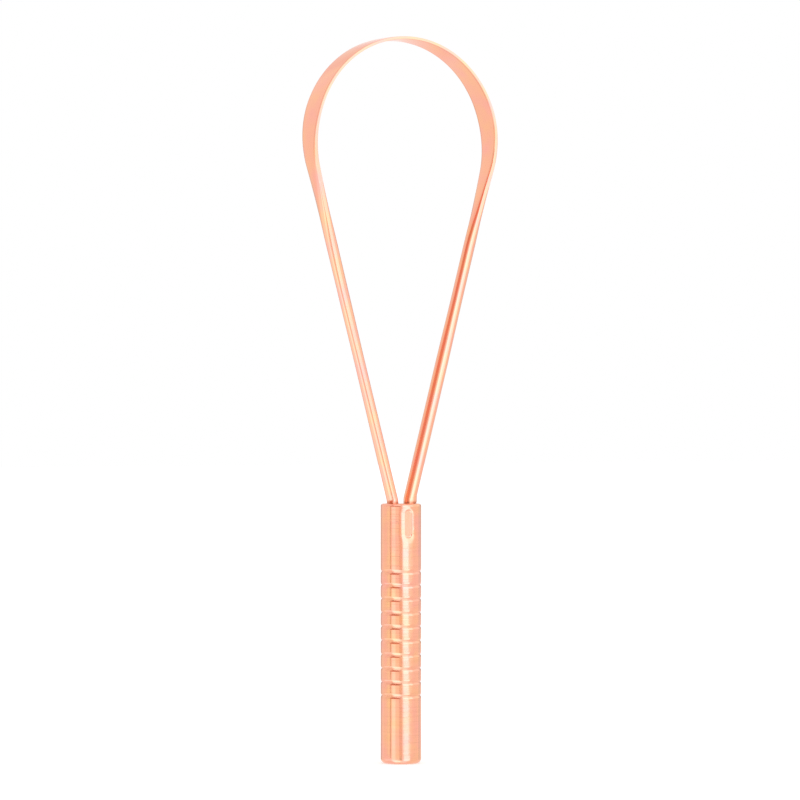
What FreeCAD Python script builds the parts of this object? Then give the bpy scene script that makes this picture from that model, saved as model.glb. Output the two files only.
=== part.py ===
import FreeCAD, Part
import math
import os

# Tongue scraper: a wire loop, rolled flat round its crown, staked into a turned rod handle.
# Millimetres and degrees. The origin is the middle of the handle's tail end, +Z runs up the handle
# to the crown, the loop lies in the XZ plane and the width of its ribbon runs along Y.
# The front is the -Y side, and the stake mark sits there, a little to the -X side.

Vector = FreeCAD.Vector

# Whole tool
overall_length = 170.0

# Handle, turned from round rod
handle_diameter = 9.5
handle_length = 60.8
tail_round = 1.2
top_round = 0.65

# Grip grooves, counted up from the lowest
groove_count = 10
groove_pitch = 3.2
groove_width = 1.3
groove_depth = 0.25
groove_start = 16.1
groove_shoulder_share = 0.4

# Oval stake mark on the handle's front, struck square but a little to the -X side of the middle
stake_width = 2.1
stake_length = 6.7
stake_depth = 0.36
stake_wall = 0.2
stake_drop = 4.7
stake_aside = 0.575

# Wire legs and the holes that hold them
wire_diameter = 2.7
leg_spacing = 4.5
leg_depth = 14.0
hole_clearance = 0.05
hole_mouth = 0.2
drill_point_angle = 118.0
foot_rise = 0.55
foot_bend_radius = 4.5

# Crown of the loop, where the wire is a ribbon
crown_radius = 24.25
ribbon_width = 7.3
ribbon_thickness = 0.86
ribbon_edge_angle = 87.0

# Shoulders, where the ribbon draws in to round wire
shoulder_start_angle = 21.0
shoulder_length = 45.0
shoulder_sections = 13
round_edge_angle = 45.0

# How far a cutting solid runs past the face that it cuts
overrun = 1.0

# Places worked out from the sizes above
handle_radius = handle_diameter / 2
wire_radius = wire_diameter / 2
hole_radius = wire_radius + hole_clearance
leg_offset = leg_spacing / 2
crown_level = overall_length - crown_radius - ribbon_thickness / 2
foot_level = handle_length + foot_rise
crown_centre = Vector(0, 0, crown_level)
along_y = Vector(0, 1, 0)


def line(start, end):
    return Part.LineSegment(start, end).toShape()


def arc(start, middle, end):
    return Part.Arc(start, middle, end).toShape()


def groove_edges(level):
    """One grip groove in the turning profile: shoulder, hollow and shoulder, tangent to each other."""
    half = groove_width / 2
    turn = 2 * math.atan(groove_depth / half)
    reach = half / math.sin(turn)
    shoulder = reach * groove_shoulder_share

    def on_shoulder(angle, side):
        out = handle_radius - shoulder * (1 - math.cos(angle))
        return Vector(out, 0, level + side * (half - shoulder * math.sin(angle)))

    floor = Vector(handle_radius - groove_depth, 0, level)
    return [
        arc(on_shoulder(0, -1), on_shoulder(turn / 2, -1), on_shoulder(turn, -1)),
        arc(on_shoulder(turn, -1), floor, on_shoulder(turn, 1)),
        arc(on_shoulder(turn, 1), on_shoulder(turn / 2, 1), on_shoulder(0, 1)),
    ]


def corner_round(level, side, radius):
    """Rounded end corner of the rod, from the end face out to the side."""
    lean = radius * (1 - math.sqrt(0.5))
    return [
        Vector(handle_radius - radius, 0, level),
        Vector(handle_radius - lean, 0, level + side * lean),
        Vector(handle_radius, 0, level + side * radius),
    ]


def turned_rod():
    """The rod as it leaves the lathe: rounded ends and the row of grip grooves."""
    tail = corner_round(0, 1, tail_round)
    top = corner_round(handle_length, -1, top_round)
    edges = [line(Vector(0, 0, 0), tail[0]), arc(*tail)]
    place = tail[2]
    for index in range(groove_count):
        groove = groove_edges(groove_start + index * groove_pitch)
        edges.append(line(place, groove[0].firstVertex().Point))
        edges += groove
        place = groove[2].lastVertex().Point
    axis_end = Vector(0, 0, handle_length)
    edges += [line(place, top[2]), arc(*reversed(top)), line(top[0], axis_end), line(axis_end, Vector(0, 0, 0))]
    profile = Part.Face(Part.Wire(edges))
    return profile.revolve(Vector(0, 0, 0), Vector(0, 0, 1), 360)


def leg_hole(side):
    """Blind drilled hole for one leg: a small countersink, the bore and the drill's point."""
    x = side * leg_offset
    down = Vector(0, 0, -1)
    mouth_radius = hole_radius + hole_mouth
    entry = Part.makeCylinder(mouth_radius, overrun, Vector(x, 0, handle_length))
    countersink = Part.makeCone(mouth_radius, hole_radius, hole_mouth, Vector(x, 0, handle_length), down)
    bore = Part.makeCylinder(hole_radius, leg_depth, Vector(x, 0, handle_length), down)
    point_depth = hole_radius / math.tan(math.radians(drill_point_angle / 2))
    point = Part.makeCone(hole_radius, 0, point_depth, Vector(x, 0, handle_length - leg_depth), down)
    return bore.multiFuse([entry, countersink, point])


def obround(y, width, length, level):
    """Upright slot outline with round ends, in a plane across Y, set aside from the middle."""
    radius = width / 2
    straight = length / 2 - radius
    lean = radius * math.sqrt(0.5)

    def at(x, z):
        return Vector(x - stake_aside, y, level + z)

    edges = [line(at(radius, -straight), at(radius, straight))]
    edges.append(arc(at(radius, straight), at(lean, straight + lean), at(0, straight + radius)))
    edges.append(arc(at(0, straight + radius), at(-lean, straight + lean), at(-radius, straight)))
    edges.append(line(at(-radius, straight), at(-radius, -straight)))
    edges.append(arc(at(-radius, -straight), at(-lean, -straight - lean), at(0, -straight - radius)))
    edges.append(arc(at(0, -straight - radius), at(lean, -straight - lean), at(radius, -straight)))
    return Part.Wire(edges)


def stake_punch():
    """The oval punch that leaves the stake mark: a flat nose with sloping sides."""
    level = handle_length - stake_drop
    nose = stake_depth - handle_radius
    slope = stake_wall / stake_depth
    flare = 2 * slope * (stake_depth + overrun)
    foot_width = stake_width - 2 * stake_wall
    foot_length = stake_length - 2 * stake_wall
    foot = obround(nose, foot_width, foot_length, level)
    back = obround(nose - stake_depth - overrun, foot_width + flare, foot_length + flare, level)
    return Part.makeLoft([foot, back], True, True)


def handle():
    rod = turned_rod()
    return rod.cut([leg_hole(-1), leg_hole(1), stake_punch()]).removeSplitter()


def leg_tilt():
    """Lean of a leg, in radians, so that it runs from its foot bend to touch the crown's circle."""
    rise = crown_level - foot_level
    return math.asin(crown_radius / math.hypot(leg_offset, rise)) - math.atan2(leg_offset, rise)


def section(centre, outward, half_width, half_thickness, edge_angle):
    """Oval wire section of four tangent arcs: two round edges along Y and two faces."""
    angle = math.radians(edge_angle)
    shift = (half_width - half_thickness) / (math.sin(angle) + math.cos(angle) - 1)
    edge_radius = half_width - shift * math.cos(angle)
    join_width = half_width - edge_radius * (1 - math.cos(angle))
    join_thickness = edge_radius * math.sin(angle)

    def at(across, out):
        return centre + along_y * across + outward * out

    corners = [
        at(join_width, -join_thickness),
        at(join_width, join_thickness),
        at(-join_width, join_thickness),
        at(-join_width, -join_thickness),
    ]
    return Part.Wire([
        arc(corners[0], at(half_width, 0), corners[1]),
        arc(corners[1], at(0, half_thickness), corners[2]),
        arc(corners[2], at(-half_width, 0), corners[3]),
        arc(corners[3], at(0, -half_thickness), corners[0]),
    ])


def wire_place(run):
    """Centre and outward direction on the right half, a given run down the wire from the ribbon's end."""
    start = math.radians(shoulder_start_angle)
    tilt = leg_tilt()
    arc_run = crown_radius * (start + tilt)
    angle = start - min(run, arc_run) / crown_radius
    outward = Vector(math.cos(angle), 0, math.sin(angle))
    down_leg = Vector(-math.sin(tilt), 0, -math.cos(tilt))
    return crown_centre + outward * crown_radius + down_leg * max(run - arc_run, 0), outward


def shoulder_section(share):
    """Section part of the way down a shoulder: it narrows as it thickens, so the metal is kept."""
    eased = share * share * (3 - 2 * share)
    half_width = (ribbon_width / 2) ** (1 - eased) * wire_radius ** eased
    half_thickness = (ribbon_thickness / 2) ** (1 - eased) * wire_radius ** eased
    edge_angle = ribbon_edge_angle + (round_edge_angle - ribbon_edge_angle) * eased
    centre, outward = wire_place(share * shoulder_length)
    return section(centre, outward, half_width, half_thickness, edge_angle)


def shoulder():
    """Right shoulder, lofted from the ribbon's section to the round wire's."""
    last = shoulder_sections - 1
    return Part.makeLoft([shoulder_section(index / last) for index in range(shoulder_sections)], True, False)


def crown():
    """The ribbon, turned about the crown's axis from one shoulder over the top to the other."""
    sweep = 180 - 2 * shoulder_start_angle
    return Part.Face(shoulder_section(0)).revolve(crown_centre, Vector(0, -1, 0), sweep)


def leg():
    """Right leg: straight from the shoulder, a foot bend, then straight down into its hole."""
    tilt = leg_tilt()
    bend_run = foot_bend_radius * math.tan(tilt / 2)
    bend_end = Vector(leg_offset, 0, foot_level - bend_run)
    foot = section(bend_end, Vector(1, 0, 0), wire_radius, wire_radius, round_edge_angle)
    stub = Part.Face(foot).extrude(Vector(0, 0, handle_length - leg_depth - bend_end.z))
    bend_centre = bend_end + Vector(foot_bend_radius, 0, 0)
    bend = Part.Face(foot).revolve(bend_centre, along_y, math.degrees(tilt))
    shoulder_end, outward = wire_place(shoulder_length)
    bend_start = Vector(leg_offset, 0, foot_level) + Vector(math.sin(tilt), 0, math.cos(tilt)) * bend_run
    straight = Part.Face(shoulder_section(1)).extrude(bend_start - shoulder_end)
    return [straight, bend, stub]


def scraper_loop():
    right_half = [shoulder()] + leg()
    left_half = [piece.mirror(Vector(0, 0, 0), Vector(1, 0, 0)) for piece in right_half]
    return crown().multiFuse(right_half + left_half).removeSplitter()


def main():
    os.makedirs("parts", exist_ok=True)
    for name, piece in (("handle", handle()), ("scraper_loop", scraper_loop())):
        box = piece.optimalBoundingBox(False)
        print(name, len(piece.Solids), "solid, valid", piece.isValid(), "volume", round(piece.Volume, 1))
        print("  size", round(box.XLength, 3), round(box.YLength, 3), round(box.ZLength, 3),
              "from z", round(box.ZMin, 3), "to", round(box.ZMax, 3))
        piece.exportStep("parts/" + name + ".step")
    print("leg tilt", round(math.degrees(leg_tilt()), 2), "degrees")


main()
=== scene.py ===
# %% [markdown]
# # A copper tongue scraper
# The real tool is two pieces of bright copper: a wire loop whose crown is rolled flat into a scraping
# ribbon, and a turned rod handle that the two ends of the wire are staked into. The measured model is
# loaded first, as a fixed frame, and everything below is built around it in metres.

# %% Load the measured model
import math

import bmesh
import bpy
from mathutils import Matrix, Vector, noise


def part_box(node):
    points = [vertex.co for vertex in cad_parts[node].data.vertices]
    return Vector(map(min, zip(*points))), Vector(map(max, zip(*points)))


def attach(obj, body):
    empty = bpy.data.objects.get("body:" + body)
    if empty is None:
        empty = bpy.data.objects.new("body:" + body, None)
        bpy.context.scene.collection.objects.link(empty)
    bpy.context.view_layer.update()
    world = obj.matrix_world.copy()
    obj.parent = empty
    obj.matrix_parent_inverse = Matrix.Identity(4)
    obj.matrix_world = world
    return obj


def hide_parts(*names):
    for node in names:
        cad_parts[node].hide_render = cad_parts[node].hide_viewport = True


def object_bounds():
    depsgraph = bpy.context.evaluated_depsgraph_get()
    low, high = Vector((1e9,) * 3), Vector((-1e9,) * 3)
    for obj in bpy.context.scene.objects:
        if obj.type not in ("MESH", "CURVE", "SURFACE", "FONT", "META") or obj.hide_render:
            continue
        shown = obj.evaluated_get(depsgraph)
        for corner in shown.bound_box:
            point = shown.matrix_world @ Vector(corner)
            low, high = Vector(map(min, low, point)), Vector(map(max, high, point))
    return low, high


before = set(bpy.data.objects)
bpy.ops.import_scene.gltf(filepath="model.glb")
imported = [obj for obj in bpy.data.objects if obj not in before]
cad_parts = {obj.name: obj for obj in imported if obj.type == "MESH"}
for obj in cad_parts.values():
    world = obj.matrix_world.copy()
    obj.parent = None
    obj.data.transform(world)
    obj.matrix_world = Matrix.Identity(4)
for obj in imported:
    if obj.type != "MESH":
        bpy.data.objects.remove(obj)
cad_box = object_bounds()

print("nodes:", sorted(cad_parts), "CAD box:", [[round(v, 4) for v in corner] for corner in cad_box])

# %% [markdown]
# ## Sizes
# The handle's radius and length, the ribbon's width and the height of the crown are read from the boxes
# of the measured pieces, so the looks can't drift away from the model. Only what a box can't tell, such
# as the pitch of the grooves, is written down later, where it is first needed, in metres.

# %% Sizes read from the model
MM = 0.001
handle_low, handle_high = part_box("handle")
loop_low, loop_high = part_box("scraper_loop")
handle_radius = (handle_high[0] - handle_low[0]) / 2
handle_length = handle_high[2] - handle_low[2]
ribbon_width = loop_high[1] - loop_low[1]
leg_bottom = loop_low[2]
crown_top = loop_high[2]
tool_middle = Vector((0, 0, (cad_box[0][2] + cad_box[1][2]) / 2))
print("handle radius", round(handle_radius, 5), "length", round(handle_length, 4))
print("ribbon width", round(ribbon_width, 4))
print("legs from", round(leg_bottom, 4), "crown top", round(crown_top, 4))

# %% [markdown]
# ## Camera
# The tool was photographed upright from about a metre away, level with its middle and turned by a third of
# a right angle: the left of the loop shows its outside and the right its inside. A long lens from far away
# keeps the handle from looking thicker than the loop. The lens is worked out from how tall a slice of the
# world fills the square picture at the tool's distance. The tool stood a hair right of the picture's middle,
# so the camera stands that much to its left.

# %% Camera at the photograph's angle
view_azimuth = math.radians(-30.0)
view_distance = 1.0
view_span = 0.18725
view_aside = 0.22 * MM
to_camera = Vector((math.sin(view_azimuth), -math.cos(view_azimuth), 0))
to_right = Vector((math.cos(view_azimuth), math.sin(view_azimuth), 0))
upwards = Vector((0, 0, 1))

camera_data = bpy.data.cameras.new("photo_camera")
camera_data.sensor_width = 36.0
camera_data.lens = camera_data.sensor_width * view_distance / view_span
camera = bpy.data.objects.new("photo_camera", camera_data)
camera.location = tool_middle + to_camera * view_distance - to_right * view_aside
camera.rotation_euler = (-to_camera).to_track_quat("-Z", "Y").to_euler()
bpy.context.scene.collection.objects.link(camera)
bpy.context.scene.camera = camera
bpy.context.scene.view_settings.view_transform = "Standard"
print("lens", round(camera_data.lens, 1), "mm")

# %% [markdown]
# ## A helper for node trees
# Every finish below is a small tree of nodes. Adding a node, setting its options and plugging in its
# sockets are always the same three moves, so they share one helper: a socket's value may be a number, a
# colour or the output of another node.

# %% Node helper
def add_node(tree, kind, sockets=None, **options):
    """Adds one node, sets its options and fills or links its sockets."""
    node = tree.nodes.new(kind)
    for option, value in options.items():
        setattr(node, option, value)
    for socket, value in (sockets or {}).items():
        if isinstance(value, bpy.types.NodeSocket):
            tree.links.new(value, node.inputs[socket])
        else:
            node.inputs[socket].default_value = value
    return node


def finish_tree(name):
    """A new material, with its node tree and its Principled shader."""
    material = bpy.data.materials.new(name)
    material.use_nodes = True
    tree = material.node_tree
    return material, tree, tree.nodes["Principled BSDF"]


def join_scene(name, mesh):
    """Puts a finished mesh into the scene as an object."""
    piece = bpy.data.objects.new(name, mesh)
    bpy.context.scene.collection.objects.link(piece)
    return piece


print("node helpers ready, materials so far:", len(bpy.data.materials))

# %% [markdown]
# ## White room
# Bright copper has no colour of its own to show: it shows the room, tinted. The room is an even white world
# at strength 1, which is also the white background, so plain copper renders in just the colour it is given.

# %% White room
room = bpy.data.worlds.new("white_room")
room.use_nodes = True
room.node_tree.nodes["Background"].inputs["Color"].default_value = (1, 1, 1, 1)
room.node_tree.nodes["Background"].inputs["Strength"].default_value = 1.0
bpy.context.scene.world = room
print("room strength", room.node_tree.nodes["Background"].inputs["Strength"].default_value)

# %% [markdown]
# ## Reflector cards
# In an even white room polished metal looks flat, so a product photographer hangs cards round it: white
# ones that throw a bright stripe down a round rod, and tan ones that draw a dark line beside it. Each card
# is a patch of a big sphere about the tool, given by how far it reaches to the sides of the camera and up
# or down, in degrees. Its edges are feathered, as a cloth softbox's are, by fading into a transparent
# shader. Only mirror rays see the cards, so they neither show in the picture nor light the floor. A card can
# hang nearer than the rest, so that it covers those behind it. Two hang so near that the loop, which stands
# higher, sees them lower than the handle does.

# %% Card helper
card_distance = 3.0
card_cells = 12


def card_point(aside, rise, distance):
    """A point round the tool: degrees to the right of the camera, degrees up, metres away."""
    aside, rise = math.radians(aside), math.radians(rise)
    level = to_camera * math.cos(aside) + to_right * math.sin(aside)
    return tool_middle + (level * math.cos(rise) + upwards * math.sin(rise)) * distance


def feather(tree, place, edge):
    """1 inside a card, fading to 0 over a share of its width at both ends."""
    rise = add_node(tree, "ShaderNodeMapRange", {"Value": place, "From Min": 0.0, "From Max": edge},
                    interpolation_type="SMOOTHSTEP")
    fall = add_node(tree, "ShaderNodeMapRange", {"Value": place, "From Min": 1.0, "From Max": 1.0 - edge},
                    interpolation_type="SMOOTHSTEP")
    both = add_node(tree, "ShaderNodeMath", {0: rise.outputs[0], 1: fall.outputs[0]}, operation="MULTIPLY")
    return both.outputs[0]


def card_cloth(name, colour, edge_aside, edge_rise):
    """A glowing cloth of the card's colour that fades into clear at its edges."""
    material, tree, shader = finish_tree(name)
    tree.nodes.remove(shader)
    place = add_node(tree, "ShaderNodeSeparateXYZ",
                     {0: add_node(tree, "ShaderNodeTexCoord").outputs["UV"]})
    mask = add_node(tree, "ShaderNodeMath", {0: feather(tree, place.outputs[0], edge_aside),
                                             1: feather(tree, place.outputs[1], edge_rise)},
                    operation="MULTIPLY")
    strength = max(colour)
    glow = add_node(tree, "ShaderNodeEmission",
                    {"Color": [part / strength for part in colour] + [1], "Strength": strength})
    clear = add_node(tree, "ShaderNodeBsdfTransparent")
    cloth = add_node(tree, "ShaderNodeMixShader",
                     {0: mask.outputs[0], 1: clear.outputs[0], 2: glow.outputs[0]})
    tree.links.new(cloth.outputs[0], tree.nodes["Material Output"].inputs["Surface"])
    return material


def hang_card(name, colour, aside, rise, soft_aside, soft_rise, nearer=0.0):
    """Builds one card; it reaches past its stated edges by half of the feathering."""
    left, right = aside[0] - soft_aside / 2, aside[1] + soft_aside / 2
    low, high = rise[0] - soft_rise / 2, rise[1] + soft_rise / 2
    sheet = bmesh.new()
    uv = sheet.loops.layers.uv.new("card")
    shares = [cell / card_cells for cell in range(card_cells + 1)]
    distance = card_distance - nearer
    grid = []
    for v in shares:
        up = low + (high - low) * v
        row = [card_point(left + (right - left) * u, up, distance) for u in shares]
        grid.append([sheet.verts.new(point) for point in row])
    for j in range(card_cells):
        for i in range(card_cells):
            cell = sheet.faces.new((grid[j][i], grid[j][i + 1], grid[j + 1][i + 1], grid[j + 1][i]))
            for loop, (di, dj) in zip(cell.loops, ((0, 0), (1, 0), (1, 1), (0, 1))):
                loop[uv].uv = (shares[i + di], shares[j + dj])
    mesh = bpy.data.meshes.new(name)
    sheet.to_mesh(mesh)
    sheet.free()
    mesh.materials.append(card_cloth(name, colour, soft_aside / (right - left), soft_rise / (high - low)))
    card = join_scene(name, mesh)
    card.visible_camera = False
    card.visible_diffuse = False
    card.visible_transmission = False
    card.visible_shadow = False
    print(name, "reaches", aside, "aside and", rise, "up")


print("cards hang", card_distance, "m away, in", card_cells, "by", card_cells, "cells")

# %% [markdown]
# ## Hanging the cards
# The bright stripe right of the handle's middle is a tall key card to the right of the camera. Left of it
# comes a narrow tan gap, then a fill card, then the thin dark seam where two cloths meet. Tan cards high on
# the left darken the right leg, which leans that way, and a darker one above them draws the brown line on
# each groove's lower wall. Low white ones in front brighten the left leg and the grooves' upper walls. Two
# key cards at arm's length light the left leg and the ribbon's front edge and spare the handle. The last six
# hang behind the tool, for its rims, its crown and its back. Each line gives a card's colour, its reach aside
# and up in degrees, over how many degrees its edges fade, and how much nearer it hangs.

# %% Hang the cards
hang_card("low_glow", (1.36, 1.36, 1.48), (-57, 50), (-72, -10), 10, 8)
hang_card("low_left", (1.30, 1.30, 1.42), (-112, -57), (-29, -12), 10, 6)
hang_card("low_fill", (1.74, 1.74, 1.90), (-54, -20), (-30, -15), 8, 6, nearer=0.05)
hang_card("low_front", (1.90, 1.95, 2.20), (-57, -3), (-62, -31), 6, 6, nearer=0.08)
hang_card("high_front", (1.90, 1.95, 2.20), (-57, -3), (43, 62), 6, 6, nearer=0.05)
hang_card("high_key", (1.40, 1.40, 1.50), (5, 50), (36, 62), 8, 6, nearer=0.05)
hang_card("warm_card", (1.02, 1.12, 0.97), (-84, -64), (-9, 12), 10, 6, nearer=0.1)
hang_card("fill_tail", (1.12, 1.12, 1.05), (-34, -9), (-16, 0), 12, 6, nearer=0.1)
hang_card("fill_card", (1.46, 1.46, 1.50), (-54, -31), (-16, 0), 10, 6, nearer=0.12)
hang_card("side_card", (1.20, 1.22, 1.26), (66, 128), (4, 32), 12, 8, nearer=0.15)
hang_card("tan_skirt", (0.94, 0.92, 0.90), (-100, -64), (6, 34), 10, 8, nearer=0.15)
hang_card("gap_card", (0.96, 0.82, 0.70), (-9, 6), (-10, 13), 8, 8, nearer=0.2)
hang_card("low_gap", (0.74, 0.80, 0.72), (-8, 7), (-32, -9), 6, 4, nearer=0.38)
hang_card("seam_card", (0.76, 0.62, 0.44), (-64, -58), (-10, 12), 4, 6, nearer=0.2)
hang_card("tan_high", (0.87, 0.39, 0.30), (-67, -10), (12, 29), 14, 5, nearer=0.28)
hang_card("tan_top", (0.42, 0.34, 0.29), (-60, 5), (26, 42), 6, 3, nearer=0.29)
hang_card("tan_low", (0.52, 0.34, 0.28), (-62, -3), (3, 12), 6, 4, nearer=0.3)
hang_card("key_skirt", (1.20, 1.19, 1.12), (40, 68), (-6, 3), 12, 6, nearer=0.3)
hang_card("key_wide", (1.66, 1.76, 2.02), (42, 72), (1.4, 36), 12, 3, nearer=0.32)
hang_card("key_low", (1.92, 1.98, 2.30), (17, 53), (-38, -7.5), 9, 4, nearer=0.35)
hang_card("key_card", (1.92, 2.05, 2.50), (11, 44), (-5.8, 37), 10, 4, nearer=0.4)
hang_card("near_key", (1.66, 1.76, 2.00), (44, 56), (-5, 12.5), 8, 4, nearer=2.65)
hang_card("near_side", (1.66, 1.76, 2.00), (57, 73), (-1.2, 12.5), 8, 3, nearer=2.66)
hang_card("rim_left", (0.84, 0.86, 0.88), (-150, -133), (-14, 14), 8, 10)
hang_card("rim_right", (0.84, 0.86, 0.88), (120, 150), (-14, 14), 12, 10)
hang_card("rear_left", (0.62, 0.50, 0.42), (-173, -148), (-14, 14), 6, 10, nearer=0.05)
hang_card("rear_right", (0.62, 0.50, 0.42), (148, 173), (-14, 14), 6, 10, nearer=0.05)
hang_card("crown_back", (1.00, 0.88, 0.84), (146, 200), (-34, -3), 10, 4, nearer=0.1)
hang_card("crown_left", (0.95, 0.84, 0.82), (-176, -150), (14, 52), 10, 10, nearer=0.1)

# %% [markdown]
# ## Floor
# The tool stands on a plain white floor that keeps its soft shadow. A white floor in a white room comes out
# a shade under white, so for the camera alone it also glows a little. The copper mirrors the cards below the
# floor's level, so mirror rays pass it by.

# %% Floor
floor_size = 8.0
floor_grey = 0.72
floor_glow = 0.42
paint, tree, shader = finish_tree("floor_paint")
tree.nodes.remove(shader)
matt = add_node(tree, "ShaderNodeBsdfDiffuse", {"Color": (floor_grey, floor_grey, floor_grey, 1)})
seen = add_node(tree, "ShaderNodeLightPath")
lift = add_node(tree, "ShaderNodeMath", {0: seen.outputs["Is Camera Ray"], 1: floor_glow},
                operation="MULTIPLY")
glow = add_node(tree, "ShaderNodeEmission", {"Color": (1, 1, 1, 1), "Strength": lift.outputs[0]})
both = add_node(tree, "ShaderNodeAddShader", {0: matt.outputs[0], 1: glow.outputs[0]})
tree.links.new(both.outputs[0], tree.nodes["Material Output"].inputs["Surface"])

slab = bmesh.new()
bmesh.ops.create_grid(slab, x_segments=1, y_segments=1, size=floor_size / 2)
floor_mesh = bpy.data.meshes.new("floor")
slab.to_mesh(floor_mesh)
slab.free()
floor_mesh.materials.append(paint)
floor = join_scene("floor", floor_mesh)
floor.visible_glossy = False
print("floor", floor_size, "m square")

# %% [markdown]
# ## Copper
# Both pieces are the same bare copper, pink in some patches and more orange in others, as handling and a
# little oxide leave it. The patches are a slow noise that mixes two close colours, which were matched to the
# tones of the photograph, and the metal shader tints every reflection with them. The brown is painted shade
# and painted dark reflection, with a little dirt, and the fresh colour is for metal that a blow has
# burnished.

# %% Copper colours
copper_rose = (0.98, 0.430, 0.330, 1)
copper_amber = (0.98, 0.490, 0.272, 1)
# Brown for painted shade and painted dark reflection lines, and for a little dirt on the lathe rings.
dirt_and_painted_dark_brown = (0.60, 0.20, 0.10, 1)
copper_fresh = (0.98, 0.500, 0.355, 1)
noise_low = 0.3
noise_high = 0.7
noise_detail = 3.0


def copper_patches(tree, where, patch_size):
    """Colour output: rose and amber patches of about the given size, in metres."""
    patches = add_node(tree, "ShaderNodeTexNoise",
                       {"Vector": where, "Scale": 1 / patch_size, "Detail": noise_detail})
    spread = add_node(tree, "ShaderNodeMapRange",
                      {"Value": patches.outputs[0], "From Min": noise_low, "From Max": noise_high})
    mixed = add_node(tree, "ShaderNodeMix", {0: spread.outputs[0], 6: copper_rose, 7: copper_amber},
                     data_type="RGBA")
    return mixed.outputs[2]


def stretched(tree, where, stretch):
    """The same place, squeezed or stretched along each axis."""
    return add_node(tree, "ShaderNodeMapping", {"Vector": where, "Scale": stretch}).outputs[0]


print("copper from", copper_rose[:3], "to", copper_amber[:3])

# %% [markdown]
# ## Turned copper
# The lathe tool leaves rings a few tenths of a millimetre apart round the whole handle. A noise that is
# squeezed along the axis and stretched across it gives such rings, uneven as real ones. They bump the
# surface by some micrometres and hold a little dirt, and a finer noise makes it shine unevenly. The grooves,
# the stake mark's walls and the holes get painted shade in brown: each point of the mesh carries how deep in
# a hollow it lies, and that mixes the brown in, made patchy by the finer noise. The floor of the stake mark
# is smooth and fresh, so the rings fade out there.

# %% Turned copper
ring_pitch = 0.42 * MM
ring_height = 0.017 * MM
ring_scale = (60, 60, 1 / ring_pitch)
ring_detail = 2.0
ring_middle = 0.45
ring_crest = 0.65
ring_dirt = 0.08
smear_scale = (900, 900, 500)
turned_patch = 5 * MM
turned_rough = (0.10, 0.19)
turned_copper, tree, shader = finish_tree("turned_copper_finish")
place = add_node(tree, "ShaderNodeTexCoord").outputs["Object"]
rings = add_node(tree, "ShaderNodeTexNoise",
                 {"Vector": stretched(tree, place, ring_scale), "Scale": 1.0, "Detail": ring_detail})
smears = add_node(tree, "ShaderNodeTexNoise",
                  {"Vector": stretched(tree, place, smear_scale), "Scale": 1.0, "Detail": noise_detail})
struck = add_node(tree, "ShaderNodeAttribute", attribute_name="struck")
calm = add_node(tree, "ShaderNodeMix", {0: struck.outputs["Fac"], 2: rings.outputs[0], 3: ring_middle})
# Painted shade: the hollow layer mixes brown into the grooves, the stake mark's walls and the holes.
hollow = add_node(tree, "ShaderNodeAttribute", attribute_name="hollow")
painted_dark = add_node(tree, "ShaderNodeMath", {0: hollow.outputs["Fac"], 1: smears.outputs[0]},
                 operation="MULTIPLY")
dirt = add_node(tree, "ShaderNodeMapRange", {"Value": calm.outputs[0], "From Min": ring_middle,
                                             "From Max": ring_crest, "To Min": 0.0, "To Max": ring_dirt})
# Painted shade plus a little dirt on the ring crests decide how much brown goes in.
dirt_and_painted_dark = add_node(tree, "ShaderNodeMath", {0: painted_dark.outputs[0], 1: dirt.outputs[0]},
                operation="ADD", use_clamp=True)
bright = add_node(tree, "ShaderNodeMix",
                  {0: struck.outputs["Fac"], 6: copper_patches(tree, place, turned_patch), 7: copper_fresh},
                  data_type="RGBA")
colour = add_node(tree, "ShaderNodeMix", {0: dirt_and_painted_dark.outputs[0], 6: bright.outputs[2], 7: dirt_and_painted_dark_brown},
                  data_type="RGBA")
rough = add_node(tree, "ShaderNodeMapRange", {"Value": smears.outputs[0],
                                              "From Min": noise_low, "From Max": noise_high,
                                              "To Min": turned_rough[0], "To Max": turned_rough[1]})
bump = add_node(tree, "ShaderNodeBump", {"Height": calm.outputs[0], "Strength": 1.0, "Distance": ring_height})
tree.links.new(colour.outputs[2], shader.inputs["Base Color"])
tree.links.new(rough.outputs[0], shader.inputs["Roughness"])
tree.links.new(bump.outputs[0], shader.inputs["Normal"])
shader.inputs["Metallic"].default_value = 1.0
print(turned_copper.name, "has", len(tree.nodes), "nodes")

# %% [markdown]
# ## Rolled copper
# Drawing a wire through a die and rolling it flat leaves fine streaks that follow it round the loop, which
# plain object coordinates can't. So each point of the loop's mesh carries its own place along, across and
# out of the wire, under the name grain, and the streaks are a noise drawn out along the first of these.
# A brown line beside the ribbon's corners is a painted dark reflection, which fades where the wire turns
# round, and the feet get painted shade in brown where they meet the handle.

# %% Rolled copper
streak_length = 9 * MM
streak_width = 0.30 * MM
streak_height = 0.004 * MM
corner_place = 0.05
corner_width = 0.10
# How brown the painted dark reflection line beside the ribbon's corners is, where the wire is fully rolled.
corner_painted_reflection = 0.45
wire_smear_scale = (300, 700, 700)
rolled_patch = 6 * MM
rolled_rough = (0.10, 0.18)
rolled_copper, tree, shader = finish_tree("rolled_copper_finish")
grain = add_node(tree, "ShaderNodeAttribute", attribute_name="grain").outputs["Vector"]
streaks = add_node(tree, "ShaderNodeTexNoise",
                   {"Vector": stretched(tree, grain, (1 / streak_length, 1 / streak_width, 1 / streak_width)),
                    "Scale": 1.0, "Detail": noise_detail})
smears = add_node(tree, "ShaderNodeTexNoise",
                  {"Vector": stretched(tree, grain, wire_smear_scale), "Scale": 1.0, "Detail": noise_detail})
rough = add_node(tree, "ShaderNodeMapRange", {"Value": smears.outputs[0],
                                              "From Min": noise_low, "From Max": noise_high,
                                              "To Min": rolled_rough[0], "To Max": rolled_rough[1]})
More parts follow.
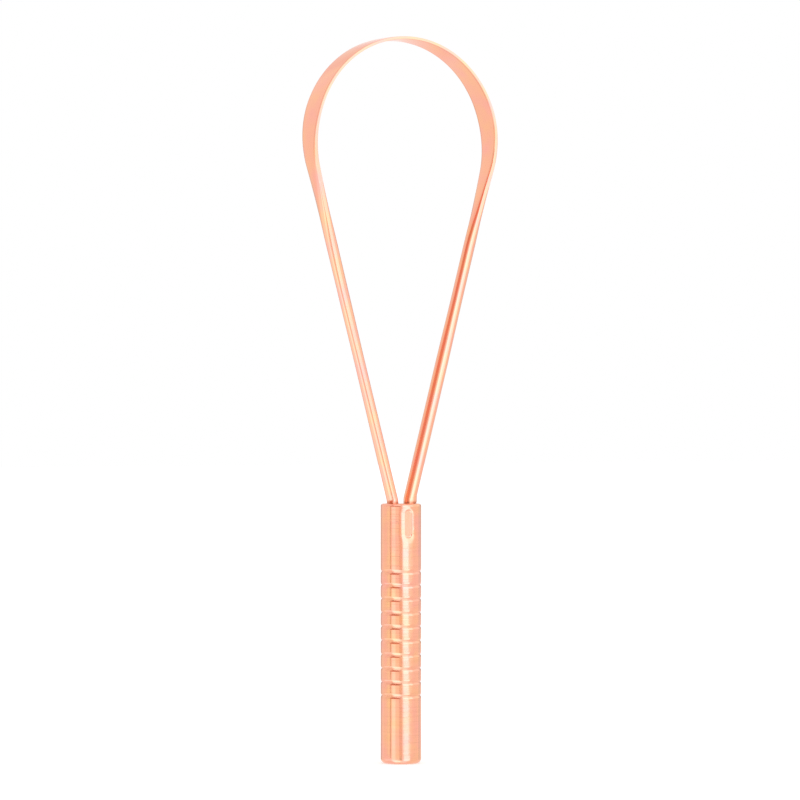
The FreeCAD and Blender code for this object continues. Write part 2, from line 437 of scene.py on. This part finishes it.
bump = add_node(tree, "ShaderNodeBump",
                {"Height": streaks.outputs[0], "Strength": 1.0, "Distance": streak_height})
hollow = add_node(tree, "ShaderNodeAttribute", attribute_name="hollow")
corner = add_node(tree, "ShaderNodeAttribute", attribute_name="corner")
# Painted reflection: a dark line a little inside each corner of the ribbon.
apart = add_node(tree, "ShaderNodeMath", {0: corner.outputs["Fac"], 1: corner_place, 2: corner_width},
                 operation="COMPARE")
rolled = add_node(tree, "ShaderNodeAttribute", attribute_name="rolled")
fading = add_node(tree, "ShaderNodeMath", {0: rolled.outputs["Fac"], 1: corner_painted_reflection}, operation="MULTIPLY")
corner_reflection_line = add_node(tree, "ShaderNodeMath", {0: apart.outputs[0], 1: fading.outputs[0]},
                        operation="MULTIPLY")
# Painted shade at the feet and the painted dark reflection line, whichever is darker.
painted_dark = add_node(tree, "ShaderNodeMath", {0: hollow.outputs["Fac"], 1: corner_reflection_line.outputs[0]},
                 operation="MAXIMUM")
colour = add_node(tree, "ShaderNodeMix", {0: painted_dark.outputs[0], 6: copper_patches(tree, grain, rolled_patch),
                                          7: dirt_and_painted_dark_brown}, data_type="RGBA")
tree.links.new(colour.outputs[2], shader.inputs["Base Color"])
tree.links.new(rough.outputs[0], shader.inputs["Roughness"])
tree.links.new(bump.outputs[0], shader.inputs["Normal"])
shader.inputs["Metallic"].default_value = 1.0
print(rolled_copper.name, "has", len(tree.nodes), "nodes")

# %% [markdown]
# ## Handle: the turned profile
# The handle is a rod turned on a lathe, so its surface is one profile spun round the axis. The profile is
# a list of rows from tail to top, each a radius and a height: a rounded tail, ten shallow grip grooves, which
# are narrow hollows between wide worn shoulders, and a small round at the top. A turner's hand shows in the
# grooves, which wander by a tenth of a millimetre and differ a little in depth.

# %% Handle profile
tail_round = 1.2 * MM
top_round = 0.65 * MM
groove_count = 10
groove_pitch = 3.22 * MM
groove_width = 1.4 * MM
groove_depth = 0.22 * MM
groove_start = 15.93 * MM
groove_shoulder_share = 0.9
groove_wander = 0.09 * MM
groove_uneven_share = 0.12
groove_uneven_turn = 2.4
groove_steps = 24


def groove_level(index):
    """Height of a groove's middle, counted up from the lowest."""
    wander = groove_wander * math.sin(math.tau * index / (groove_count - 1))
    return groove_start + index * groove_pitch - wander


def groove_drop(offset, depth):
    """How far a groove lies under the rod's surface, at a height above or below its middle."""
    half = groove_width / 2
    offset = min(abs(offset), half)
    turn = 2 * math.atan(depth / half)
    reach = half / math.sin(turn)
    shoulder = reach * groove_shoulder_share
    hollow = reach - shoulder
    if offset > hollow * math.sin(turn):
        return shoulder - math.sqrt(shoulder ** 2 - (half - offset) ** 2)
    return depth - hollow + math.sqrt(hollow ** 2 - offset ** 2)


def end_rows(round_radius, steps):
    """Radius and distance from the end, round a corner from the end face to the side."""
    rows = []
    for step in range(steps + 1):
        angle = math.radians(90) * step / steps
        inset = round_radius * (1 - math.sin(angle))
        rows.append((handle_radius - inset, round_radius * (1 - math.cos(angle))))
    return rows


def even_rows(low, high, pitch):
    """Plain rows between two heights, about a pitch apart, without the two ends."""
    count = max(1, round((high - low) / pitch))
    return [(handle_radius, low + (high - low) * step / count) for step in range(1, count)]


def groove_rows(index):
    """Radius and height of the rows through one groove, from its lower edge to its upper."""
    uneven = 0.5 + 0.5 * math.sin(groove_uneven_turn * index)
    depth = groove_depth * (1 - groove_uneven_share * uneven)
    half = groove_width / 2
    offsets = [half * (2 * step / groove_steps - 1) for step in range(groove_steps + 1)]
    return [(handle_radius - groove_drop(offset, depth), groove_level(index) + offset) for offset in offsets]


print("grooves from", round(groove_level(0), 4), "to", round(groove_level(groove_count - 1), 4))

# %% [markdown]
# ## Handle: the stake mark
# One blow of an oval punch into the handle's side locks the legs in their holes. It leaves a flat, burnished
# floor with steep walls, and drags the rim round it into a shallow dish, most of all on the deep side. A cut
# with a boolean would leave ragged faces on a fine mesh, so the points of the rod are simply pushed in: a
# signed distance to the punch's outline says how far inside each one lies. A few small dings beside it are
# pushed in too. Each is given by its degrees round the rod, then its height, radius and depth in millimetres.

# %% Stake mark and dings
stake_width = 2.1 * MM
stake_length = 6.7 * MM
stake_depth = 0.36 * MM
stake_wall = 0.22 * MM
stake_drop = 4.7 * MM
stake_level = handle_length - stake_drop
stake_aside = -0.575 * MM
stake_roll = 0.12 * MM
roll_width = 1.4 * MM
rim_roll = 0.05 * MM
rim_width = 0.45 * MM
stake_margin = 0.4 * MM
dings = [
    (7.5, 55.0, 0.34, 0.045),
    (-30.5, 53.6, 0.22, 0.03),
    (-29.0, 52.9, 0.18, 0.025),
    (-41.0, 56.9, 0.2, 0.02),
]


def eased(share):
    """A share held between 0 and 1 that starts and stops softly."""
    share = min(max(share, 0.0), 1.0)
    return share * share * (3 - 2 * share)


def stake_distance(aside, rise):
    """Distance outside the punch's oval outline, negative inside it."""
    radius = stake_width / 2
    straight = stake_length / 2 - radius
    return math.hypot(aside, max(abs(rise) - straight, 0.0)) - radius


def pressed_point(radius, height, angle):
    """A point of the rod's skin after the blows, and how far the punch pushed it, from 0 to 1."""
    for turn, level, size, depth in dings:
        round_off = math.remainder(angle - math.radians(turn), math.tau) * radius
        apart = math.hypot(round_off, height - level * MM)
        radius -= depth * MM * max(0.0, 1 - (apart / (size * MM)) ** 2) ** 2
    across = radius * math.sin(angle)
    front = radius * math.cos(angle)
    pushed = 0.0
    if front > 0:
        outside = stake_distance(across - stake_aside, height - stake_level)
        front -= stake_roll * max(0.0, 1 - max(outside, 0.0) / roll_width) ** 2
        deep_side = min(max((across - stake_aside) / (stake_width / 2), 0.0), 1.0)
        front -= rim_roll * deep_side * max(0.0, 1 - max(outside, 0.0) / rim_width) ** 2
        pushed = eased(-outside / stake_wall)
        front += (min(front, handle_radius - stake_depth) - front) * pushed
    return Vector((across, -front, height)), pushed


print("stake mark at height", round(stake_level, 4), "with", len(dings), "dings beside it")

# %% [markdown]
# ## Handle: spinning the profile
# The rows and columns of the mesh are spaced by need. Grooves and the stake mark get rows a tenth of a
# millimetre apart and plain stretches far fewer, and the columns crowd together on the side that is staked.
# Each point keeps how much brown painted shade it gets, in a groove or on the stake mark's walls, and how far
# it was struck in two float layers, which the turned finish reads.

# %% Spin the handle
stake_sector = math.radians(40.0)
sector_columns = 64
plain_columns = 112
plain_pitch = 1.2 * MM
neck_pitch = plain_pitch / 3
stake_pitch = 0.12 * MM
tail_steps = 9
top_steps = 7
# How much brown painted shade goes on the stake mark's walls and into the grooves.
wall_painted_shade = 0.3
groove_painted_shade = 0.30
groove_painted_shade_power = 3


def handle_rows():
    """Radius and height of every row, from the tail to the top."""
    rows = end_rows(tail_round, tail_steps)
    for index in range(groove_count):
        groove = groove_rows(index)
        rows += even_rows(rows[-1][1], groove[0][1], plain_pitch) + groove
    stake_low = stake_level - stake_length / 2 - stake_margin
    top = [(radius, handle_length - drop) for radius, drop in reversed(end_rows(top_round, top_steps))]
    rows += even_rows(rows[-1][1], stake_low, neck_pitch) + even_rows(stake_low, top[0][1], stake_pitch)
    return rows + top


def handle_angles():
    """Column angles round the rod, from the left of the stake sector, with 0 at the front."""
    start = math.asin(stake_aside / handle_radius) - stake_sector / 2
    fine = [start + stake_sector * step / sector_columns for step in range(sector_columns)]
    rest = math.tau - stake_sector
    return fine + [start + stake_sector + rest * step / plain_columns for step in range(plain_columns)]


def bridge(mesh, lower, upper):
    """Joins two closed rings of as many points by a strip of faces."""
    for step in range(len(lower)):
        following = (step + 1) % len(lower)
        mesh.faces.new((lower[step], lower[following], upper[following], upper[step]))


def ring_edges(ring):
    """The edges that join the points of a closed ring, in turn."""
    found = []
    for step, point in enumerate(ring):
        following = ring[(step + 1) % len(ring)]
        found += [edge for edge in point.link_edges if following in edge.verts]
    return found


handle_mesh = bmesh.new()
painted_shade_layer = handle_mesh.verts.layers.float.new("hollow")
struck_layer = handle_mesh.verts.layers.float.new("struck")
rings_of_handle = []
for radius, height in handle_rows():
    ring = []
    for angle in handle_angles():
        point, pushed = pressed_point(radius, height, angle)
        vertex = handle_mesh.verts.new(point)
        groove_share = (handle_radius - radius) / groove_depth if tail_round < height < stake_level else 0.0
        # Painted shade: the deeper a point lies in a groove, the browner it is painted.
        groove_shade_here = groove_painted_shade * min(max(groove_share, 0.0), 1.0) ** groove_painted_shade_power
        # The stake mark's steep walls get painted shade too.
        wall_share = 4 * pushed * (1 - pushed)
        vertex[painted_shade_layer] = max(wall_share * wall_painted_shade, groove_shade_here)
        vertex[struck_layer] = pushed
        ring.append(vertex)
    if rings_of_handle:
        bridge(handle_mesh, rings_of_handle[-1], ring)
    rings_of_handle.append(ring)
handle_mesh.faces.new(list(reversed(rings_of_handle[0])))
print("handle skin:", len(rings_of_handle), "rows of", len(ring), "points")

# %% [markdown]
# ## Handle: the leg holes
# The top end has two drilled holes, each with a small countersink and a drill's cone at the bottom. Each is
# built as rings that go down, and the flat left between the rim and the two mouths is filled with triangles,
# which a flat face hides well.

# %% Leg holes and top face
wire_radius = 1.35 * MM
leg_offset = 2.25 * MM
hole_clearance = 0.05 * MM
hole_radius = wire_radius + hole_clearance
hole_mouth = 0.2 * MM
drill_point_angle = 118.0
drill_cone = math.radians(drill_point_angle / 2)
hole_points = 48
rim_inset = 0.04 * MM


def flat_ring(mesh, x, radius, height, angles):
    """A level ring of points round an upright axis, with 0 degrees at the front."""
    return [mesh.verts.new((x + radius * math.sin(a), -radius * math.cos(a), height)) for a in angles]


rim = flat_ring(handle_mesh, 0, handle_radius - top_round - rim_inset, handle_length, handle_angles())
bridge(handle_mesh, rings_of_handle[-1], rim)
top_edges = ring_edges(rim)
hole_angles = [math.tau * step / hole_points for step in range(hole_points)]
for side in (-1, 1):
    x = side * leg_offset
    mouth = flat_ring(handle_mesh, x, hole_radius + hole_mouth, handle_length, hole_angles)
    throat = flat_ring(handle_mesh, x, hole_radius, handle_length - hole_mouth, hole_angles)
    bottom = flat_ring(handle_mesh, x, hole_radius, leg_bottom, hole_angles)
    tip = handle_mesh.verts.new((x, 0, leg_bottom - hole_radius / math.tan(drill_cone)))
    bridge(handle_mesh, throat, mouth)
    bridge(handle_mesh, bottom, throat)
    for step in range(hole_points):
        handle_mesh.faces.new((tip, bottom[(step + 1) % hole_points], bottom[step]))
    # Painted shade: the insides of the holes are painted fully brown.
    for vertex in throat + bottom + [tip]:
        vertex[painted_shade_layer] = 1.0
    top_edges += ring_edges(mouth)
filled = bmesh.ops.triangle_fill(handle_mesh, edges=top_edges, use_beauty=True, normal=upwards)
print("top face:", len(filled["geom"]), "new faces and edges")

# %% [markdown]
# ## Handle: shading and hand-over
# Smooth shading hides the facets, but an edge as sharp as a hole's mouth has to stay crisp, so every edge
# that bends by more than a set angle is marked sharp. The finished mesh then stands for the measured handle.

# %% Finish the handle
crease = math.radians(40.0)


def finished_mesh(name, mesh, finish):
    """Turns a bmesh into an object: faces outwards, smooth but for creases, one finish."""
    bmesh.ops.recalc_face_normals(mesh, faces=mesh.faces)
    for face in mesh.faces:
        face.smooth = True
    for edge in mesh.edges:
        edge.smooth = edge.calc_face_angle(math.pi) < crease
    data = bpy.data.meshes.new(name)
    open_edges = sum(1 for edge in mesh.edges if len(edge.link_faces) != 2)
    print(name, "faces", len(mesh.faces), "open edges", open_edges, "volume mm3",
          round(mesh.calc_volume() / MM ** 3, 1))
    mesh.to_mesh(data)
    mesh.free()
    data.materials.append(finish)
    return join_scene(name, data)


grooved_handle = finished_mesh("grooved_handle", handle_mesh, turned_copper)
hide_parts("handle")
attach(grooved_handle, "root")

# %% [markdown]
# ## Loop: the path of the wire
# The loop is one wire. From the top of its crown it runs round an arc, leaves it straight down a leaning leg,
# bends upright just above the handle and goes down into its hole. Both halves mirror each other, so one
# function gives the place for a run along the wire, to the right for a positive run and left for a negative.

# %% Path of the wire
crown_radius = 24.25 * MM
ribbon_thickness = 0.86 * MM
foot_rise = 0.55 * MM
foot_level = handle_length + foot_rise
foot_bend_radius = 4.5 * MM
crown_level = crown_top - crown_radius - ribbon_thickness / 2
leg_rise = crown_level - foot_level
leg_tilt = math.asin(crown_radius / math.hypot(leg_offset, leg_rise)) - math.atan2(leg_offset, leg_rise)
bend_reach = foot_bend_radius * math.tan(leg_tilt / 2)
bend_bottom = foot_level - bend_reach

arc_run = crown_radius * (math.pi / 2 + leg_tilt)
touch_point = Vector((math.cos(leg_tilt), 0, -math.sin(leg_tilt))) * crown_radius + upwards * crown_level
up_leg = Vector((math.sin(leg_tilt), 0, math.cos(leg_tilt)))
bend_top = Vector((leg_offset, 0, foot_level)) + up_leg * bend_reach
leg_run = arc_run + (touch_point - bend_top).length
bend_run = leg_run + foot_bend_radius * leg_tilt
wire_run = bend_run + bend_bottom - leg_bottom


def wire_place(run):
    """Centre of the wire and its outward direction, a run away from the top of the crown."""
    along = abs(run)
    if along < leg_run:
        angle = math.pi / 2 - min(along, arc_run) / crown_radius
        outward = Vector((math.cos(angle), 0, math.sin(angle)))
        down_leg = Vector((-math.sin(leg_tilt), 0, -math.cos(leg_tilt)))
        centre = upwards * crown_level + outward * crown_radius + down_leg * max(along - arc_run, 0)
    else:
        angle = max(bend_run - along, 0) / foot_bend_radius
        outward = Vector((math.cos(angle), 0, -math.sin(angle)))
        bend_centre = Vector((leg_offset + foot_bend_radius, 0, bend_bottom))
        centre = bend_centre - outward * foot_bend_radius - upwards * max(along - bend_run, 0)
    if run < 0:
        centre.x, outward.x = -centre.x, -outward.x
    return centre, outward


print("leg leans", round(math.degrees(leg_tilt), 2), "degrees; half the wire is", round(wire_run, 4), "m")

# %% [markdown]
# ## Loop: the section of the wire
# Rolling keeps the metal: as the ribbon widens it thins. The section is an oval of four tangent arcs, two
# faces and two round edges, which fits a ribbon as well as round wire. It goes from one to the other down
# each shoulder. Real wire is never true: the ribbon's edges are rubbed flat and wave by a few hundredths of a
# millimetre, its faces are faintly uneven from the rolls, and the legs were drawn a little out of round, the
# left one also a little thin.

# %% Section of the wire
ribbon_edge_angle = 87.0
round_edge_angle = 45.0
edge_angle_power = 4
shoulder_start_angle = 21.0
shoulder_top_run = crown_radius * math.radians(90.0 - shoulder_start_angle)
shoulder_length = 34.6 * MM
leg_top_drop = 45.0 * MM
leg_top_run = shoulder_top_run + leg_top_drop
arc_points = 15
wave_length = 7.0 * MM
width_wave_share = 0.008
width_wave_seed = 3.7
face_wave = 0.010 * MM
face_wave_rate = 2
face_wave_seed = 9.1
right_oval_share = 0.085
left_oval_shares = (0.12, -0.10)
left_thin_share = 0.07
oval_turn = math.radians(-30.0)
oval_rise_run = 18 * MM
oval_fall_run = 1.2 * MM
edge_flat_share = 0.7


def oval(half_width, half_thickness, edge_angle, flat_share):
    """Points round an oval of four arcs, across the ribbon and out of it, with its two edges rubbed flat."""
    angle = math.radians(edge_angle)
    shift = (half_width - half_thickness) / (math.sin(angle) + math.cos(angle) - 1)
    edge_radius = half_width - shift * math.cos(angle)
    flat = edge_radius * flat_share
    points = []
    for step in range(arc_points):
        turn = angle * (2 * step / arc_points - 1)
        across = half_width - edge_radius + (edge_radius + flat) * math.cos(turn) - flat * math.cos(angle)
        points.append((min(across, half_width), edge_radius * math.sin(turn)))
    half_face = math.pi / 2 - angle
    face_radius = (half_width - edge_radius * (1 - math.cos(angle))) / math.sin(half_face)
    for step in range(arc_points):
        turn = half_face * (1 - 2 * step / arc_points)
        points.append((face_radius * math.sin(turn), half_thickness - face_radius * (1 - math.cos(turn))))
    return points + [(-across, -out) for across, out in points]


def leg_faults(run):
    """How far a leg is out of round and how much thinner it was drawn, as shares of its radius."""
    below = abs(run) - leg_top_run
    down = min(max(below / (bend_run - leg_top_run), 0.0), 1.0)
    seated = eased((bend_run - abs(run)) / oval_fall_run)
    if run > 0:
        return right_oval_share * eased(below / oval_rise_run) * seated, 0.0
    oval_share = left_oval_shares[0] + (left_oval_shares[1] - left_oval_shares[0]) * down
    thin_share = left_thin_share * eased(below / oval_rise_run) * seated
    return oval_share * eased(1 + below / oval_rise_run) * seated, thin_share


def wire_section(run):
    """Section of the real wire at a run: ribbon, shoulder or leg, with its small faults."""
    along = abs(run)
    ease = eased((along - shoulder_top_run) / shoulder_length)
    wave = 0.5 + 0.5 * noise.noise((run / wave_length, width_wave_seed, 0))
    half_width = (ribbon_width / 2) ** (1 - ease) * wire_radius ** ease * (1 - width_wave_share * wave)
    half_thickness = (ribbon_thickness / 2) ** (1 - ease) * wire_radius ** ease
    edge_angle = ribbon_edge_angle + (round_edge_angle - ribbon_edge_angle) * ease ** edge_angle_power
    points = oval(half_width, half_thickness, edge_angle, edge_flat_share * (1 - ease))
    out_of_round, thin = leg_faults(run)
    section = []
    for across, out in points:
        long_way = out * math.cos(oval_turn) + across * math.sin(oval_turn)
        short_way = across * math.cos(oval_turn) - out * math.sin(oval_turn)
        long_way *= (1 + out_of_round) * (1 - thin)
        short_way *= (1 - out_of_round) * (1 - thin)
        turned_out = long_way * math.cos(oval_turn) - short_way * math.sin(oval_turn)
        turned_across = long_way * math.sin(oval_turn) + short_way * math.cos(oval_turn)
        aside = across / wave_length * face_wave_rate
        uneven = noise.noise((run / wave_length, aside, face_wave_seed + out / wave_length))
        section.append((turned_across, turned_out - face_wave * (0.5 + 0.5 * uneven)))
    return section


print("section points", len(wire_section(0)), "ribbon", ribbon_width, "x", ribbon_thickness)

# %% [markdown]
# ## Loop: the feet
# The blow that staked the legs also swelled the outer side of the right foot, just above the handle. It
# could be sculpted by hand, but a small function that moves points outwards is easier to change later. The
# stations where a section is set lie close together at the feet, so that the swelling stays round, and less
# than a millimetre apart on the even rest of the wire.

# %% Stations and feet
station_pitch = 0.75 * MM
foot_pitch = 0.12 * MM
foot_run = bend_run + bend_bottom - handle_length
foot_reach = 4.5 * MM
swell = 0.45 * MM
swell_reach = 2.6 * MM
swell_seat = 0.14 * MM


def half_runs():
    """Runs down one leg from the crown's top, close together at the foot."""
    near_run = foot_run - foot_reach
    seat_run = foot_run + swell_seat
    spans = [
        (0, near_run, station_pitch),
        (near_run, seat_run, foot_pitch),
        (seat_run, wire_run, station_pitch),
    ]
    runs = []
    for start, end, pitch in spans:
        count = math.ceil((end - start) / pitch)
        runs += [start + (end - start) * step / count for step in range(count)]
    return runs + [wire_run]


def swollen(run, out):
    """How far the staking blow swelled the outer side of the right foot."""
    if run < 0 or out < 0:
        return 0.0
    over = foot_run - run
    return swell * (out / wire_radius) * eased(1 - over / swell_reach) * eased(over / swell_seat)


print("stations down each half of the wire:", len(half_runs()))

# %% [markdown]
# ## Loop: sweeping the section
# The sections are set along the path, and neighbouring ones are joined by strips of faces. A curve with a
# bevel would be quicker, but its section can't change from ribbon to wire. Each point keeps its place along,
# across and out of the wire in the grain layer. Three more layers tell the rolled finish how much painted
# shade the feet get where they meet the handle, how far a point lies from the ribbon's corners, where the
# painted dark reflection runs, and how far the wire was rolled flat there.

# %% Sweep the loop
# Painted shade where the legs meet the handle: how brown it is and how high it reaches.
foot_painted_shade = 0.85
foot_painted_shade_rise = 0.9 * MM
along_y = Vector((0, 1, 0))
loop_mesh = bmesh.new()
grain_layer = loop_mesh.verts.layers.float_vector.new("grain")
foot_shade_layer = loop_mesh.verts.layers.float.new("hollow")
corner_layer = loop_mesh.verts.layers.float.new("corner")
rolled_layer = loop_mesh.verts.layers.float.new("rolled")
rings_of_loop = []
for run in [-place for place in reversed(half_runs()[1:])] + half_runs():
    centre, outward = wire_place(run)
    section = wire_section(run)
    reach = max(across for across, out in section)
    rolled_share = 1 - eased((abs(run) - shoulder_top_run) / shoulder_length)
    ring = []
    for across, out in section:
        vertex = loop_mesh.verts.new(centre + along_y * across + outward * (out + swollen(run, out)))
        vertex[grain_layer] = (run, across, out)
        # Painted shade on the feet, fading upwards from the handle's top.
        vertex[foot_shade_layer] = foot_painted_shade * eased(1 - (vertex.co.z - handle_length) / foot_painted_shade_rise)
        # Distance from the ribbon's corners, where the painted dark reflection line is drawn.
        vertex[corner_layer] = (abs(across) - reach + ribbon_thickness / 2) / MM
        vertex[rolled_layer] = rolled_share
        ring.append(vertex)
    if rings_of_loop:
        bridge(loop_mesh, rings_of_loop[-1], ring)
    rings_of_loop.append(ring)
loop_mesh.faces.new(rings_of_loop[0])
loop_mesh.faces.new(list(reversed(rings_of_loop[-1])))

scraper_wire = finished_mesh("scraper_wire", loop_mesh, rolled_copper)
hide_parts("scraper_loop")
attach(scraper_wire, "root")
